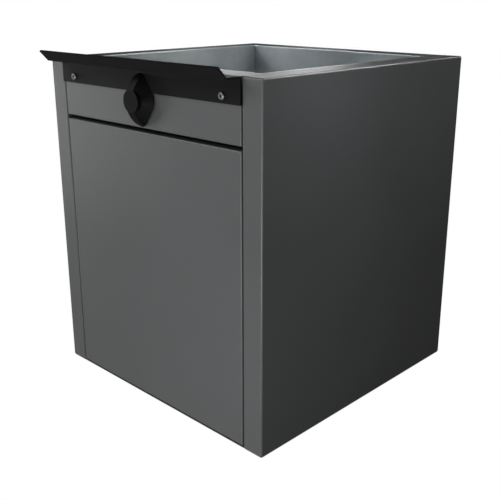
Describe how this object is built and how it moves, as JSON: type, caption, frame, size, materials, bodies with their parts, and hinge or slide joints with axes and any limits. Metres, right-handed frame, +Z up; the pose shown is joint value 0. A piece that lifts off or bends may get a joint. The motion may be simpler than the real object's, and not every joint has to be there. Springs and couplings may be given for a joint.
{
  "type": "parcel drop box",
  "caption": "Square sheet-steel parcel drop box body, open at the top, with a drop-down front door, a turn-knob latch and a flared guard lip along the front.",
  "frame": {"origin": "centre of the base face, midway between the shell's side walls and between its front and back faces", "axes": "+Z up through the open mouth, +X to the right seen from the front, +Y from the door towards the back"},
  "size_m": [0.4, 0.4356, 0.462],
  "materials": {
    "shell_paint": "anthracite powder coat, fine texture, satin",
    "guard_paint": "black powder coat, matt",
    "galvanised": "hot-dip galvanised sheet, fine spangle, satin",
    "knob_plastic": "moulded black polyamide, fine grain",
    "zinc_steel": "bright zinc plated",
    "bush_nylon": "black nylon",
    "seal_rubber": "black foam rubber"
  },
  "bodies": {
    "cabinet": {"left_side_panel": "shell_paint", "right_side_panel": "shell_paint", "back_panel": "shell_paint", "floor_pan": "shell_paint", "threshold": "shell_paint", "header_rail": "shell_paint", "header_spacers": "galvanised", "header_bolts": "zinc_steel", "header_nuts": "zinc_steel", "mouth_collar": "galvanised", "left_side_lining": "galvanised", "right_side_lining": "galvanised", "back_lining": "galvanised", "lining_cap": "galvanised", "floor_lining": "galvanised", "side_stiffeners": "galvanised", "back_stiffeners": "galvanised", "lining_rivets": "zinc_steel", "guard_plate": "guard_paint", "guard_screws": "zinc_steel", "guard_nuts": "zinc_steel", "latch_housing": "knob_plastic", "latch_nut": "zinc_steel", "pivot_pins": "zinc_steel", "door_stop_pins": "zinc_steel", "door_seals": "seal_rubber"},
    "door": {"door_panel": "shell_paint", "door_inner_panel": "galvanised", "door_stiffener": "galvanised", "door_rivets": "zinc_steel", "door_catch": "galvanised", "catch_rivets": "zinc_steel", "pivot_bushes": "bush_nylon", "door_stop_lugs": "zinc_steel"},
    "latch": {"knob": "knob_plastic", "latch_spindle": "zinc_steel", "friction_washer": "bush_nylon", "latch_cam": "zinc_steel", "cam_washer": "zinc_steel", "cam_screw": "zinc_steel"}
  },
  "joints": [
    {"name": "door_hinge", "type": "hinge", "parent": "cabinet", "child": "door", "pos_m": [0, -0.194, 0.01], "axis": [1, 0, 0], "range_deg": [0, 90]},
    {"name": "knob_turn", "type": "hinge", "parent": "cabinet", "child": "latch", "pos_m": [0, -0.2, 0.4095], "axis": [0, 1, 0], "range_deg": [0, 90]}
  ]
}
